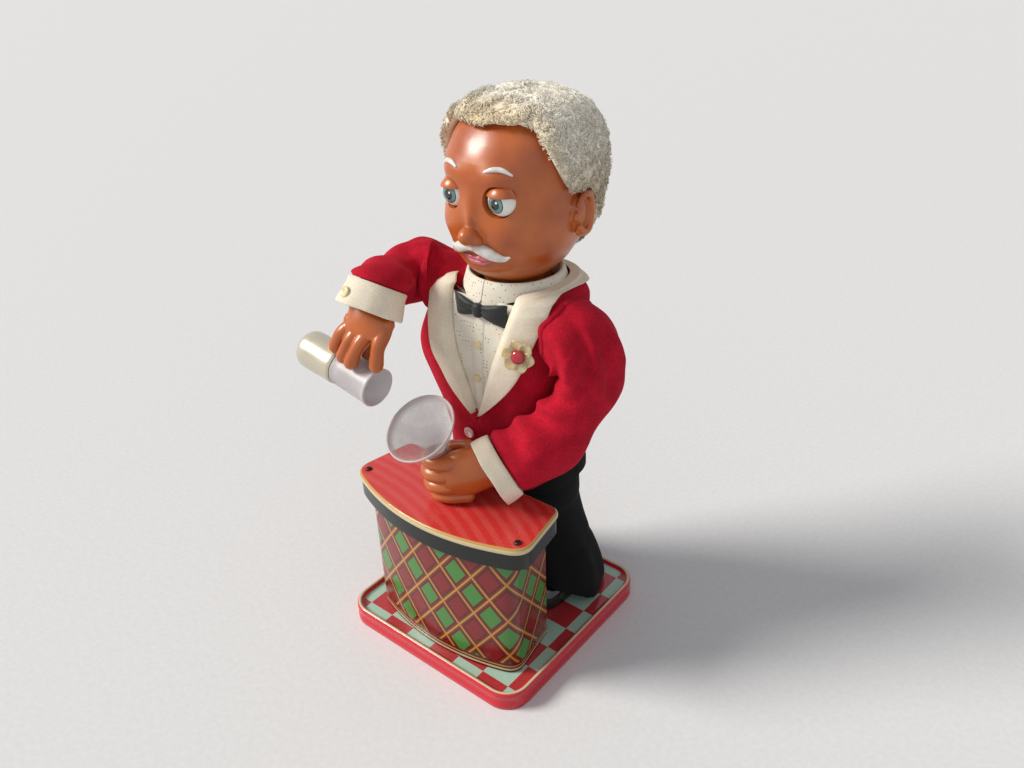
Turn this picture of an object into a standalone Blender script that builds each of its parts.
"""A battery-driven bartender automaton: a dressed figure behind a small tin bar on a tin tray.

Metres, +Z up. The origin is the middle of the tray's underside, and the figure looks along -Y.
+X is the figure's left hand, which holds the glass; its right hand pours from the shaker.
"""
import bpy
import bmesh
from math import acos, cos, pi, radians, sin, tan
from mathutils import Matrix, Vector

for old in list(bpy.data.objects):
    bpy.data.objects.remove(old)

# Clearances and sheet gauges
GAP = 0.0003
CLOTH_GAP = 0.0005
TIN = 0.0008
PLATE = 0.0012
FELT = 0.0018

# Tray
TRAY_WIDTH = 0.122
TRAY_DEPTH = 0.121
TRAY_HEIGHT = 0.011
TRAY_FLOOR = 0.0082
TRAY_CORNER = 0.014
RIM_WIDTH = 0.0042

# Bar and its counter
BAR_HEIGHT = 0.0955
BAR_HALF_WIDTH = 0.0505
BAR_CORNER_Y = -0.042
BAR_FRONT_Y = -0.052
BAR_BACK_Y = -0.009
BAR_FILLET = 0.0075
BAR_TAPER = 0.006
COUNTER_SIDE_OVERHANG = 0.0072
COUNTER_FRONT_OVERHANG = 0.004
COUNTER_BACK_OVERHANG = 0.002
SKIRT_DEPTH = 0.0125
BEAD = 0.0018
RIVET_RADIUS = 0.0017

# Batteries: two upright cells
CELL_RADIUS = 0.0165
CELL_LENGTH = 0.0615
CELL_Y = -0.0278
CELL_PITCH = 0.0338
SPRING_HEIGHT = 0.0075
BOARD_THICKNESS = 0.0016
DOOR_PIN_RADIUS = 0.0005
DOOR_BARREL_RADIUS = 0.0009
DOOR_EAR_X = 0.0163
SWITCH_SIDE_EDGE = 0.0070
SWITCH_BACK_EDGE = 0.0133

# Legs and trousers
LEG_SPACING = 0.054
LEG_Y = 0.0305
UPRIGHT_X = 0.020
UPRIGHT_RADIUS = 0.0045
SHOE_LENGTH = 0.047
SHOE_HALF_WIDTH = 0.0105
SHOE_HEIGHT = 0.0140
HEM_HALF_WIDTH = 0.0238
HEM_HALF_DEPTH = 0.0242
TROUSER_HALF_WIDTH = 0.0322
TROUSER_HALF_DEPTH = 0.0255
TROUSER_CLOTH = 0.0016
HEM_LIFT = 0.0145

# Waist pivot, measured down from the counter
WAIST_DROP = 0.0025
WAIST_Y = 0.030
WAIST_PIN_RADIUS = 0.0015

# Torso and jacket, heights above the waist pivot
TORSO_Y = 0.027
JACKET_HALF_WIDTH = 0.038
JACKET_HALF_DEPTH = 0.032
JACKET_SQUARENESS = 2.7
HEM_DROP = 0.0045
SHOULDER_HEIGHT = 0.089
SHOULDER_Y = 0.022
NECK_HEIGHT = 0.1055
LAPEL_POINT_HEIGHT = 0.038
LAPEL_WIDTH = 0.011
LAPEL_THICKNESS = 0.0014
LAPEL_GAP = 0.0011
NECK_Y = 0.0285
COLLAR_RADIUS = 0.0228

# Jacket levels: height above the waist pivot, half width, half depth and middle (Y)
LEVELS = ((-HEM_DROP, 0.0372, 0.0315, 0.0290), (0.0140, 0.0358, 0.0308, 0.0275),
          (0.0270, 0.0354, 0.0312, 0.0270), (0.0420, 0.0362, 0.0318, 0.0268),
          (0.0700, 0.0380, 0.0308, 0.0265), (0.0880, 0.0380, 0.0286, 0.0270),
          (0.0980, 0.0370, 0.0277, 0.0278), (0.1025, 0.0332, 0.0268, 0.0284),
          (0.1050, 0.0270, 0.0258, 0.0285))
AROUND = 24

# Frame inside the torso
FRAME_HALF_WIDTH = 0.0222
FRAME_DEPTH = 0.030
SHAFT_RADIUS = 0.0015
SHOULDER_SHAFT_RADIUS = 0.002
SHAFT_ENDS = {"left": 0.0480, "right": 0.0415}
ARMHOLE = 0.0040
LEVER_LENGTH = 0.022
CAM_RADIUS = 0.0085
CAM_PLACE = 0.0150
NECK_PIN_RADIUS = 0.0011

# Motor and gears
MOTOR_RADIUS = 0.012
MOTOR_LENGTH = 0.0206
MOTOR_HEIGHT = 0.0215
GEAR_MODULE = 0.0013
PINION_TEETH = 8
WHEEL_TEETH = 20
MESH_CLEARANCE = 0.0003
GEAR_WIDTH = 0.0035
WHEEL_PLACE = 0.0038
WIRE_RADIUS = 0.0008
BATTERY_LEAD_HOLE = (-0.0440, -0.0200)
MOTOR_LEAD_HOLE = (-0.0110, 0.0380)
MOTOR_LEAD_TOP = (-0.0110, 0.0340)

# Head
HEAD_Y = 0.036
HEAD_HALF_WIDTH = 0.034
HEAD_HEIGHT = 0.083
VINYL = 0.0018
NECK_RADIUS = 0.0165
EYE_SPACING = 0.028
EYE_RADIUS = 0.007
EYE_HEIGHT = 0.0485
EYE_PIN_RADIUS = 0.0012
EYE_PLATE_Y = 0.0160
HAIR_DEPTH = 0.0045
EAR_HEIGHT = 0.0375
SEAT_HEIGHT = 0.0052

# Arms, placed from the shoulder axis
SLEEVE_RADIUS = 0.0195
SLEEVE_HEAD = 0.0160
SLEEVE_HALF_THICKNESS = 0.0122
SLEEVE_CLOTH = 0.0018
CUFF_LENGTHS = {"left": 0.0085, "right": 0.0140}
CUFF_FLARES = {"left": 0.0012, "right": 0.0030}
CUFF_BUTTON_TURN = {"right": radians(110), "left": radians(-60)}
LEFT_ELBOW = Vector((0.0445, -0.0140, -0.0460))
LEFT_FOREARM = Vector((0.0345, -0.0280, -0.0580))
LEFT_WRIST = Vector((0.0250, -0.0365, -0.0655))
LEFT_WAY = Vector((-0.51, -0.74, -0.43))
LEFT_FIST = Vector((0.0015, -0.0500, -0.0715))
RIGHT_UPPER = Vector((-0.0450, -0.0090, 0.0128))
RIGHT_ELBOW = Vector((-0.0510, -0.0180, 0.0130))
RIGHT_FOREARM = Vector((-0.0505, -0.0290, 0.0125))
RIGHT_BEND = Vector((-0.0460, -0.0385, 0.0190))
RIGHT_WRIST = Vector((-0.0412, -0.0485, 0.0194))
RIGHT_WAY = Vector((-0.02, -0.56, -0.83)).normalized()
RIGHT_PALM = Vector((-0.0385, -0.0590, 0.0048))
RIGHT_KNUCKLES = Vector((-0.0378, -0.0625, 0.0000))
RIGHT_SPREAD = Vector((0.956, 0.29, 0)).normalized()
FINGER_RADIUS = 0.0034
BUTTON_RADIUS = 0.0026

# Shaker and glass, placed from the shoulder axis
SHAKER_CENTRE = Vector((-0.0560, -0.0660, -0.0230))
SHAKER_TILT = radians(9)
SHAKER_RADIUS = 0.0100
SHAKER_CUP_LENGTH = 0.026
SHAKER_CAP_LENGTH = 0.0250
SHAKER_WALL = 0.0011
GLASS_RIM = Vector((-0.0034, -0.0660, -0.0400))
GLASS_TILT = radians(33)
GLASS_RIM_RADIUS = 0.0187
GLASS_DEPTH = 0.0240
GLASS_WALL = 0.0011
GLASS_STEM_RADIUS = 0.0022
GLASS_STEM_LENGTH = 0.0200

# Sizes that follow from the ones above
DECK = TRAY_FLOOR + GAP
COUNTER_PLATE_UNDER = BAR_HEIGHT - TIN
WAIST_Z = BAR_HEIGHT - WAIST_DROP
SHOULDER_Z = WAIST_Z + SHOULDER_HEIGHT
NECK_Z = WAIST_Z + NECK_HEIGHT
FRAME_BASE_Z = WAIST_Z + 0.0062
NECK_PIVOT_Z = NECK_Z - 0.001
HEAD_BOTTOM = NECK_Z - 0.0025
PIVOT_WAIST = Vector((0, WAIST_Y, WAIST_Z))
PIVOT_SHOULDER = Vector((0, SHOULDER_Y, SHOULDER_Z))
PIVOT_NECK = Vector((0, WAIST_Y, NECK_PIVOT_Z))
HIP_PLATE_Z = WAIST_Z - 0.0125
CELL_BASE = 0.0018
HOLDER_TOP = CELL_BASE + CELL_LENGTH + SPRING_HEIGHT + GAP
BOARD_Z = HOLDER_TOP + GAP
SHOULDER_PLANE = JACKET_HALF_WIDTH + CLOTH_GAP
DOOR_AXIS = Vector((0, CELL_Y + CELL_RADIUS + 0.0020, DOOR_BARREL_RADIUS + 0.0001))
HATCH_HALF_X = CELL_PITCH / 2 + CELL_RADIUS + 0.0040
HATCH_FRONT = CELL_Y - CELL_RADIUS - 0.0016
HATCH_BACK = DOOR_AXIS.y + DOOR_BARREL_RADIUS + GAP
SWITCH_PLACE = Vector((SWITCH_SIDE_EDGE - TRAY_WIDTH / 2, TRAY_DEPTH / 2 - SWITCH_BACK_EDGE, DECK))
SHIRT_OUTER = -FELT - GAP
SHIRT_INNER = SHIRT_OUTER - 0.0007
SHELL_OUTER = SHIRT_INNER - GAP
SHELL_INNER = SHELL_OUTER - TIN
FRAME_EDGE = SHELL_INNER - GAP
FRAME_TOP_HEIGHT = LEVELS[6][0] - 0.0005
SHELL_TOP = FRAME_TOP_HEIGHT + 0.0025
PINION_PLACE = WHEEL_PLACE + GEAR_WIDTH


def srgb(code):
    """Turn a hex colour into the linear values that a shader takes."""
    parts = [int(code[i:i + 2], 16) / 255 for i in (0, 2, 4)]
    return [c / 12.92 if c <= 0.04045 else ((c + 0.055) / 1.055) ** 2.4 for c in parts] + [1.0]


def material(name, code, roughness, metallic=0.0, transmission=0.0):
    """Make one finish of the toy."""
    finish = bpy.data.materials.new(name)
    finish.use_nodes = True
    shader = finish.node_tree.nodes["Principled BSDF"]
    shader.inputs["Base Color"].default_value = srgb(code)
    shader.inputs["Roughness"].default_value = roughness
    shader.inputs["Metallic"].default_value = metallic
    shader.inputs["Transmission Weight"].default_value = transmission
    finish.diffuse_color = srgb(code)
    return finish


RED_TIN = material("red_tin", "B3202C", 0.3)
MAROON_TIN = material("maroon_tin", "7E1D1F", 0.3)
COUNTER_RED = material("counter_red", "C23A36", 0.3)
STEEL = material("zinc_steel", "A9ABA8", 0.4, 0.9)
BRASS = material("brass", "B8944E", 0.35, 0.9)
BLACK_CLOTH = material("black_velvet", "131619", 0.95)
CRIMSON_CLOTH = material("crimson_felt", "A80E2C", 0.95)
CREAM_CLOTH = material("cream_felt", "D9CDB2", 0.95)
SHIRT_CLOTH = material("shirt_cotton", "D8D2C2", 0.9)
TIE_CLOTH = material("tie_ribbon", "16292A", 0.5)
VINYL_SKIN = material("brown_vinyl", "B4552A", 0.3)
PLUSH = material("white_plush", "D8CDB6", 1.0)
EYE_WHITE = material("eye_white", "E6E4DC", 0.2)
BLACK_PLASTIC = material("black_plastic", "15171A", 0.3)
IVORY_PLASTIC = material("ivory_plastic", "CFC9B4", 0.3)
FROSTED_PLASTIC = material("frosted_plastic", "CFCBCB", 0.35, 0.0, 0.6)
PEARL_PLASTIC = material("pearl_plastic", "D9C79A", 0.3)
GEAR_NYLON = material("gear_nylon", "D6D2C0", 0.5)
PHENOLIC = material("phenolic_board", "7A4A24", 0.6)
CELL_SLEEVE = material("cell_sleeve", "3E5C46", 0.4)
WIRE_RED = material("wire_insulation", "8E2A24", 0.5)


def body(name, place, parent=None):
    """An empty on a joint's axis, which carries the pieces that move together."""
    empty = bpy.data.objects.new(name, None)
    empty.location = place - (Vector(parent["place"]) if parent else Vector((0, 0, 0)))
    empty["place"] = place
    empty.parent = parent
    bpy.context.collection.objects.link(empty)
    return empty


def piece(name, vertices, faces, finish=STEEL, carrier=None):
    """Make one closed solid in the object's own frame and hang it on its body."""
    mesh = bpy.data.meshes.new(name)
    mesh.from_pydata([tuple(v) for v in vertices], [], faces)
    form = bmesh.new()
    form.from_mesh(mesh)
    bmesh.ops.recalc_face_normals(form, faces=form.faces)
    form.to_mesh(mesh)
    form.free()
    mesh.materials.append(finish)
    shape = bpy.data.objects.new(name, mesh)
    bpy.context.collection.objects.link(shape)
    if carrier:
        shape.parent = carrier
        shape.matrix_parent_inverse = Matrix.Translation(-Vector(carrier["place"]))
    return shape


def boolean(target, tool, operation):
    """Cut a tool out of a piece, or join it on, and take the tool away."""
    modifier = target.modifiers.new("shape", "BOOLEAN")
    modifier.operation = operation
    modifier.object = tool
    modifier.solver = "EXACT"
    evaluated = target.evaluated_get(bpy.context.evaluated_depsgraph_get())
    mesh = bpy.data.meshes.new_from_object(evaluated)
    target.modifiers.clear()
    target.data = mesh
    bpy.data.objects.remove(tool)
    return target


def cut(target, *tools):
    for tool in tools:
        boolean(target, tool, "DIFFERENCE")
    return target


def join(target, *tools):
    for tool in tools:
        boolean(target, tool, "UNION")
    return target


def rings(name, loops, finish=STEEL, carrier=None, closed=False):
    """Skin a row of loops. A loop of one point is a tip; open rows get flat caps."""
    vertices = [point for loop in loops for point in loop]
    starts = [sum(len(loop) for loop in loops[:i]) for i in range(len(loops))]
    faces = []
    pairs = list(zip(range(len(loops)), range(1, len(loops))))
    if closed:
        pairs.append((len(loops) - 1, 0))
    for low, high in pairs:
        a, b = starts[low], starts[high]
        count = max(len(loops[low]), len(loops[high]))
        for i in range(count):
            j = (i + 1) % count
            if len(loops[low]) == 1:
                faces.append((a, b + j, b + i))
            elif len(loops[high]) == 1:
                faces.append((a + i, a + j, b))
            else:
                faces.append((a + i, a + j, b + j, b + i))
    if not closed:
        for start, loop in ((starts[0], loops[0]), (starts[-1], loops[-1])):
            if len(loop) > 1:
                faces.append(tuple(range(start, start + len(loop))))
    return piece(name, vertices, faces, finish, carrier)


def slab(name, outer, inner, finish=STEEL, carrier=None):
    """Close two matching open grids of points into one sheet with thickness."""
    rows, columns = len(outer), len(outer[0])
    vertices = [point for grid in (outer, inner) for row in grid for point in row]

    def at(layer, i, j):
        return layer * rows * columns + i * columns + j

    faces = []
    for i in range(rows - 1):
        for j in range(columns - 1):
            faces.append((at(0, i, j), at(0, i, j + 1), at(0, i + 1, j + 1), at(0, i + 1, j)))
            faces.append((at(1, i, j), at(1, i + 1, j), at(1, i + 1, j + 1), at(1, i, j + 1)))
    for i in range(rows - 1):
        for j in (0, columns - 1):
            faces.append((at(0, i, j), at(0, i + 1, j), at(1, i + 1, j), at(1, i, j)))
    for j in range(columns - 1):
        for i in (0, rows - 1):
            faces.append((at(0, i, j), at(0, i, j + 1), at(1, i, j + 1), at(1, i, j)))
    return piece(name, vertices, faces, finish, carrier)


def prism(name, outline, axis, low, high, finish=STEEL, carrier=None):
    """Extrude a flat outline along X, Y or Z."""
    place = {"X": lambda u, v, w: Vector((w, u, v)),
             "Y": lambda u, v, w: Vector((u, w, v)),
             "Z": lambda u, v, w: Vector((u, v, w))}[axis]
    return rings(name, [[place(u, v, w) for u, v in outline] for w in (low, high)], finish, carrier)


def box(name, low, high, finish=STEEL, carrier=None):
    outline = [(low[0], low[1]), (high[0], low[1]), (high[0], high[1]), (low[0], high[1])]
    return prism(name, outline, "Z", low[2], high[2], finish, carrier)


def circle(centre, radius, sides, start=0.0):
    return [(centre[0] + radius * cos(start + 2 * pi * i / sides),
             centre[1] + radius * sin(start + 2 * pi * i / sides)) for i in range(sides)]


def frame_of(direction, hint=Vector((0, 0, 1))):
    """Two unit vectors square to a direction."""
    direction = direction.normalized()
    if abs(direction.dot(hint)) > 0.95:
        hint = Vector((1, 0, 0))
    across = (hint - direction * hint.dot(direction)).normalized()
    return across, direction.cross(across)


def loop_at(centre, direction, radius, sides, hint=Vector((0, 0, 1)), flat=1.0):
    across, over = frame_of(direction, hint)
    return [centre + across * (radius * cos(2 * pi * i / sides)) +
            over * (radius * flat * sin(2 * pi * i / sides)) for i in range(sides)]


def rod(name, start, end, radius, sides=10, finish=STEEL, carrier=None, end_radius=None):
    """A round bar, or a cone where the end radius differs."""
    direction = end - start
    tip = radius if end_radius is None else end_radius
    return rings(name, [loop_at(start, direction, radius, sides),
                        loop_at(end, direction, tip, sides)], finish, carrier)


def turned(name, profile, start, direction, sides, finish=STEEL, carrier=None, closed=False):
    """Turn (distance along, radius) points about an axis; radius 0 makes a tip."""
    direction = direction.normalized()
    loops = []
    for along, radius in profile:
        centre = start + direction * along
        loops.append([centre] if radius == 0 else loop_at(centre, direction, radius, sides))
    return rings(name, loops, finish, carrier, closed)


def smooth_path(points, steps):
    """Read points from a smooth curve through a few route points."""
    points = [Vector(p) for p in points]
    ends = [points[0] * 2 - points[1]] + points + [points[-1] * 2 - points[-2]]
    path = []
    for i in range(1, len(ends) - 2):
        a, b, c, d = ends[i - 1:i + 3]
        for k in range(steps):
            t = k / steps
            path.append(0.5 * (2 * b + (c - a) * t + (2 * a - 5 * b + 4 * c - d) * t * t +
                               (3 * b - a - 3 * c + d) * t ** 3))
    path.append(points[-1])
    return path


def directions(path):
    count = len(path)
    return [(path[min(i + 1, count - 1)] - path[max(i - 1, 0)]).normalized() for i in range(count)]


def sweep(name, path, radii, sides, finish=STEEL, carrier=None, tips=False):
    """A round bar along a path; tips rounds both ends."""
    across = frame_of(directions(path)[0])[0]
    loops = []
    for centre, direction, radius in zip(path, directions(path), radii):
        across = (across - direction * across.dot(direction)).normalized()
        over = direction.cross(across)
        loops.append([centre + across * (radius * cos(2 * pi * i / sides)) +
                      over * (radius * sin(2 * pi * i / sides)) for i in range(sides)])
    if tips:
        ways = directions(path)
        rounded = []
        for index, sign in ((0, -1), (-1, 1)):
            reach = ways[index] * (sign * radii[index])
            ring = [path[index] + (p - path[index]) * 0.7 + reach * 0.7 for p in loops[index]]
            rounded.append([ring, [path[index] + reach]])
        loops = rounded[0][::-1] + loops + rounded[1]
    return rings(name, loops, finish, carrier)


def rounded_rectangle(half_x, half_y, radius, steps=4, centre=(0.0, 0.0)):
    points = []
    for quarter, (sx, sy) in enumerate(((1, 1), (-1, 1), (-1, -1), (1, -1))):
        for k in range(steps + 1):
            angle = pi / 2 * (quarter + k / steps)
            points.append((centre[0] + sx * (half_x - radius) + radius * cos(angle),
                           centre[1] + sy * (half_y - radius) + radius * sin(angle)))
    return points


def stadium(half_length, radius, centre, steps=8):
    """Two half circles joined by straight sides."""
    points = []
    for side, start in ((1, -pi / 2), (-1, pi / 2)):
        for k in range(steps + 1):
            angle = start + pi * k / steps
            points.append((centre[0] + side * half_length + radius * cos(angle),
                           centre[1] + radius * sin(angle)))
    return points


def oval(half_x, half_y, centre, power=2.0, sides=28):
    """A superellipse; a higher power squares its corners."""
    points = []
    for i in range(sides):
        c, s = cos(2 * pi * i / sides), sin(2 * pi * i / sides)
        x = (1 if c >= 0 else -1) * abs(c) ** (2 / power)
        y = (1 if s >= 0 else -1) * abs(s) ** (2 / power)
        points.append((centre[0] + half_x * x, centre[1] + half_y * y))
    return points


def bow_outline(half_width, corner_y, front_y, back_y, steps=12):
    """The bar's plan: straight back, sides that narrow to it, round corners, bowed front."""
    fillet = BAR_FILLET
    sag = corner_y - front_y
    front = []
    for k in range(steps + 1):
        x = half_width * (2 * k / steps - 1)
        front.append(Vector((x, front_y + sag * (x / half_width) ** 2)))
    trim = fillet / half_width
    inner = [p for p in front if abs(p.x) < half_width * (1 - trim)]
    corners = {}
    for side in (-1, 1):
        corner = Vector((side * half_width, corner_y))
        rear = Vector((side * (half_width - BAR_TAPER), back_y))
        on_side = corner + (rear - corner).normalized() * fillet
        x = side * (half_width - fillet)
        on_front = Vector((x, front_y + sag * (x / half_width) ** 2))
        corners[side] = [on_side.lerp(corner, t).lerp(corner.lerp(on_front, t), t)
                         for t in (0, 0.2, 0.4, 0.6, 0.8, 1)]
    outline = [Vector((BAR_TAPER - half_width, back_y))] + corners[-1] + inner
    outline += corners[1][::-1] + [Vector((half_width - BAR_TAPER, back_y))]
    return outline


def inset(outline, amount, closed=True):
    """Move each point of a counter-clockwise outline inwards."""
    count = len(outline)
    moved = []
    for i, point in enumerate(outline):
        before = outline[i - 1] if closed or i > 0 else None
        after = outline[(i + 1) % count] if closed or i < count - 1 else None
        normals = []
        for a, b in ((before, point), (point, after)):
            if a is not None and b is not None:
                edge = Vector(b) - Vector(a)
                normals.append(Vector((-edge.y, edge.x)).normalized())
        normal = sum(normals, Vector((0, 0))).normalized()
        moved.append(Vector(point) + normal * (amount / normal.dot(normals[0])))
    return moved


def loop3(outline, z):
    return [Vector((p[0], p[1], z)) for p in outline]


def smoothstep(value):
    value = min(max(value, 0.0), 1.0)
    return value * value * (3 - 2 * value)


# Bodies, each carried on its own joint
BASE = body("base", Vector((0, 0, 0)))
DOOR = body("door_hinge", DOOR_AXIS, BASE)
SWITCH = body("switch_slide", SWITCH_PLACE, BASE)
TORSO = body("waist_axis", PIVOT_WAIST, BASE)
HEAD = body("neck_axis", PIVOT_NECK, TORSO)
RIGHT_ARM = body("right_shoulder_axis", PIVOT_SHOULDER, TORSO)
LEFT_ARM = body("left_shoulder_axis", PIVOT_SHOULDER, TORSO)

MESH_DISTANCE = (PINION_TEETH + WHEEL_TEETH) * GEAR_MODULE / 2 + MESH_CLEARANCE
MOTOR_AXIS = PIVOT_WAIST + Vector((0, 0, MOTOR_HEIGHT))
IDLER_ANGLE = radians(102)
CAM_ANGLE = radians(72)
IDLER_AXIS = MOTOR_AXIS + Vector((0, cos(IDLER_ANGLE), sin(IDLER_ANGLE))) * MESH_DISTANCE
CAM_AXIS = IDLER_AXIS + Vector((0, cos(CAM_ANGLE), sin(CAM_ANGLE))) * MESH_DISTANCE
MOTOR = body("motor_axis", MOTOR_AXIS, TORSO)
IDLER = body("idler_axis", IDLER_AXIS, TORSO)
CAMS = body("cam_axis", CAM_AXIS, TORSO)
EYE_Z = HEAD_BOTTOM + EYE_HEIGHT
EYES = {side: body("eye_axis_" + word, Vector((side * EYE_SPACING / 2, 0, EYE_Z)), HEAD)
        for side, word in ((1, "left"), (-1, "right"))}


def tray():
    """Pressed tray with a rolled rim, holed for the cells, the switch and two wires."""
    half_x, half_y = TRAY_WIDTH / 2, TRAY_DEPTH / 2
    profile = [(TIN + GAP, TRAY_FLOOR - TIN), (TIN, TRAY_FLOOR - 2 * TIN), (TIN, 0), (0, 0),
               (0, TRAY_HEIGHT * 0.76), (0.0014, TRAY_HEIGHT), (0.0028, TRAY_HEIGHT),
               (RIM_WIDTH, TRAY_FLOOR)]
    loops = [loop3(rounded_rectangle(half_x - d, half_y - d, TRAY_CORNER - d), z)
             for d, z in profile]
    shape = rings("base_tray", loops, RED_TIN, BASE)
    holder = stadium(CELL_PITCH / 2, CELL_RADIUS + 2 * GAP, (0, CELL_Y))
    cut(shape, prism("tool", holder, "Z", 0.004, 0.02))
    x, y = SWITCH_PLACE.x, SWITCH_PLACE.y
    cut(shape, box("tool", (x - 0.0016, y - 0.0042, 0.004), (x + 0.0016, y + 0.0042, 0.02)))
    for spot in (BATTERY_LEAD_HOLE, MOTOR_LEAD_HOLE):
        cut(shape, prism("tool", circle(spot, WIRE_RADIUS + 3 * GAP, 8), "Z", 0.004, 0.02))


def base_plate():
    """Steel closing plate under the tray, with the battery hatch and its hinge ears."""
    reach = TIN + GAP
    outline = rounded_rectangle(TRAY_WIDTH / 2 - reach, TRAY_DEPTH / 2 - reach,
                                TRAY_CORNER - reach)
    shape = prism("base_plate", outline, "Z", 0, TIN, STEEL, BASE)
    cut(shape, box("tool", (-HATCH_HALF_X, HATCH_FRONT, -0.01),
                   (HATCH_HALF_X, HATCH_BACK, 0.01)))
    for side in (-1, 1):
        near, far = side * (DOOR_EAR_X), side * (DOOR_EAR_X + PLATE)
        low, high = min(near, far), max(near, far)
        ear = box("tool", (low, DOOR_AXIS.y - 0.0012, 0.0), (high, HATCH_BACK + 0.0015, 0.0028))
        join(shape, ear)
        bore = prism("tool", circle((DOOR_AXIS.y, DOOR_AXIS.z), DOOR_PIN_RADIUS + GAP / 2, 8),
                     "X", low - 0.001, high + 0.001)
        cut(shape, bore)


def battery_door():
    """Hatch door on a barrel hinge, with the strap that joins the two cells."""
    edge = GAP + 0.0001
    shape = box("battery_door", (-HATCH_HALF_X + edge, HATCH_FRONT + edge, 0),
                (HATCH_HALF_X - edge, DOOR_AXIS.y, TIN), STEEL, DOOR)
    for side in (-1, 1):
        low = DOOR_EAR_X - 0.0006
        notch = (low, low + PLATE + 0.0014)
        x = sorted(side * v for v in notch)
        cut(shape, box("tool", (x[0], DOOR_AXIS.y - 0.0032, -0.01),
                       (x[1], DOOR_AXIS.y + 0.01, 0.01)))
    barrel = DOOR_EAR_X - GAP * 2
    middle = Vector((1, 0, 0))
    join(shape, rod("tool", DOOR_AXIS - middle * (barrel - 0.0004),
                    DOOR_AXIS + middle * (barrel - 0.0004), DOOR_BARREL_RADIUS))
    reach = DOOR_EAR_X + PLATE * 0.9
    join(shape, rod("tool", DOOR_AXIS - middle * reach, DOOR_AXIS + middle * reach,
                    DOOR_PIN_RADIUS, 8))
    strap = stadium(CELL_PITCH / 2, 0.004, (0, CELL_Y), 5)
    join(shape, prism("tool", strap, "Z", TIN / 2, CELL_BASE - GAP))


def batteries():
    """Two cells, their holder, and the contact board with its two springs."""
    up = Vector((0, 0, 1))
    springs = []
    for side, word in ((1, "left"), (-1, "right")):
        centre = Vector((side * CELL_PITCH / 2, CELL_Y, 0))
        nub = CELL_LENGTH - 0.0018
        profile = [(0, CELL_RADIUS), (nub, CELL_RADIUS), (nub, 0.0046), (CELL_LENGTH, 0.0042)]
        turned("battery_cell_" + word, profile, centre + up * CELL_BASE, up, 18, CELL_SLEEVE, BASE)
        springs.append(turned("tool", [(0, 0.0035), (SPRING_HEIGHT + 2 * GAP, 0.0065)],
                              centre + up * (CELL_BASE + CELL_LENGTH + GAP), up, 10))
    inner = CELL_RADIUS + 2 * GAP
    loops = []
    for radius, z in ((inner, DECK), (inner + TIN, DECK), (inner + TIN, HOLDER_TOP),
                      (inner, HOLDER_TOP)):
        loops.append(loop3(stadium(CELL_PITCH / 2, radius, (0, CELL_Y)), z))
    rings("battery_holder", loops, STEEL, BASE, closed=True)
    board = stadium(CELL_PITCH / 2, inner + TIN, (0, CELL_Y))
    plate = prism("contact_board", board, "Z", BOARD_Z, BOARD_Z + BOARD_THICKNESS, PHENOLIC, BASE)
    join(plate, *springs)


def bar():
    """Tin bar: bowed wall, back panel, counter with a skirt and bead, and two rivets."""
    wall = bow_outline(BAR_HALF_WIDTH, BAR_CORNER_Y, BAR_FRONT_Y, BAR_BACK_Y)
    section = wall + inset(wall, TIN, closed=False)[::-1]
    prism("bar_body", section, "Z", DECK, COUNTER_PLATE_UNDER - GAP, MAROON_TIN, BASE)
    reach = BAR_HALF_WIDTH - BAR_TAPER - TIN - GAP
    panel = box("bar_back_panel", (-reach, BAR_BACK_Y - TIN, DECK),
                (reach, BAR_BACK_Y, COUNTER_PLATE_UNDER - GAP), MAROON_TIN, BASE)
    cut(panel, prism("tool", circle((0, COUNTER_PLATE_UNDER - 0.012), 0.003, 10), "Y", -0.1, 0.1))
    top = bow_outline(BAR_HALF_WIDTH + COUNTER_SIDE_OVERHANG, BAR_CORNER_Y,
                      BAR_FRONT_Y - COUNTER_FRONT_OVERHANG,
                      BAR_BACK_Y + COUNTER_BACK_OVERHANG)
    skirt = COUNTER_PLATE_UNDER - SKIRT_DEPTH
    profile = [(TIN + 0.0002, COUNTER_PLATE_UNDER), (TIN, skirt), (0, skirt),
               (0, BAR_HEIGHT - 0.0036), (-BEAD / 2, BAR_HEIGHT - 0.0030),
               (-BEAD / 2, BAR_HEIGHT - 0.0008), (0, BAR_HEIGHT)]
    loops = [loop3(inset(top, d), z) for d, z in profile]
    counter = rings("bar_top", loops, COUNTER_RED, BASE)
    for side in (1, -1):
        spot = Vector((side * (BAR_HALF_WIDTH + 0.0010), BAR_CORNER_Y + 0.0025,
                       BAR_HEIGHT - TIN / 2))
        r = RIVET_RADIUS
        join(counter, turned("tool", [(0, r), (0.0008, r), (0.0014, r * 0.6)], spot,
                             Vector((0, 0, 1)), 10))


def switch():
    """Slide switch: a lever through the tray floor and its holder below."""
    x, y = SWITCH_PLACE.x, SWITCH_PLACE.y
    under = TRAY_FLOOR - TIN - GAP
    lever = box("power_switch_lever", (x - 0.0013, y - 0.0040, under - 0.0009),
                (x + 0.0013, y - 0.0016, TRAY_FLOOR + 0.0055), BLACK_PLASTIC, SWITCH)
    join(lever, box("tool", (x - 0.0024, y - 0.0058, under - 0.0008),
                    (x + 0.0024, y + 0.0002, under)))
    floor = under - 0.0009 - GAP
    low, high = y - 0.0064, y + 0.0056
    outline = [(low - 0.0012, floor - PLATE), (high + 0.0012, floor - PLATE),
               (high + 0.0012, under), (high, under), (high, floor), (low, floor),
               (low, under), (low - 0.0012, under)]
    prism("switch_holder", outline, "X", x - 0.0030, x + 0.0030, PHENOLIC, BASE)


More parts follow.
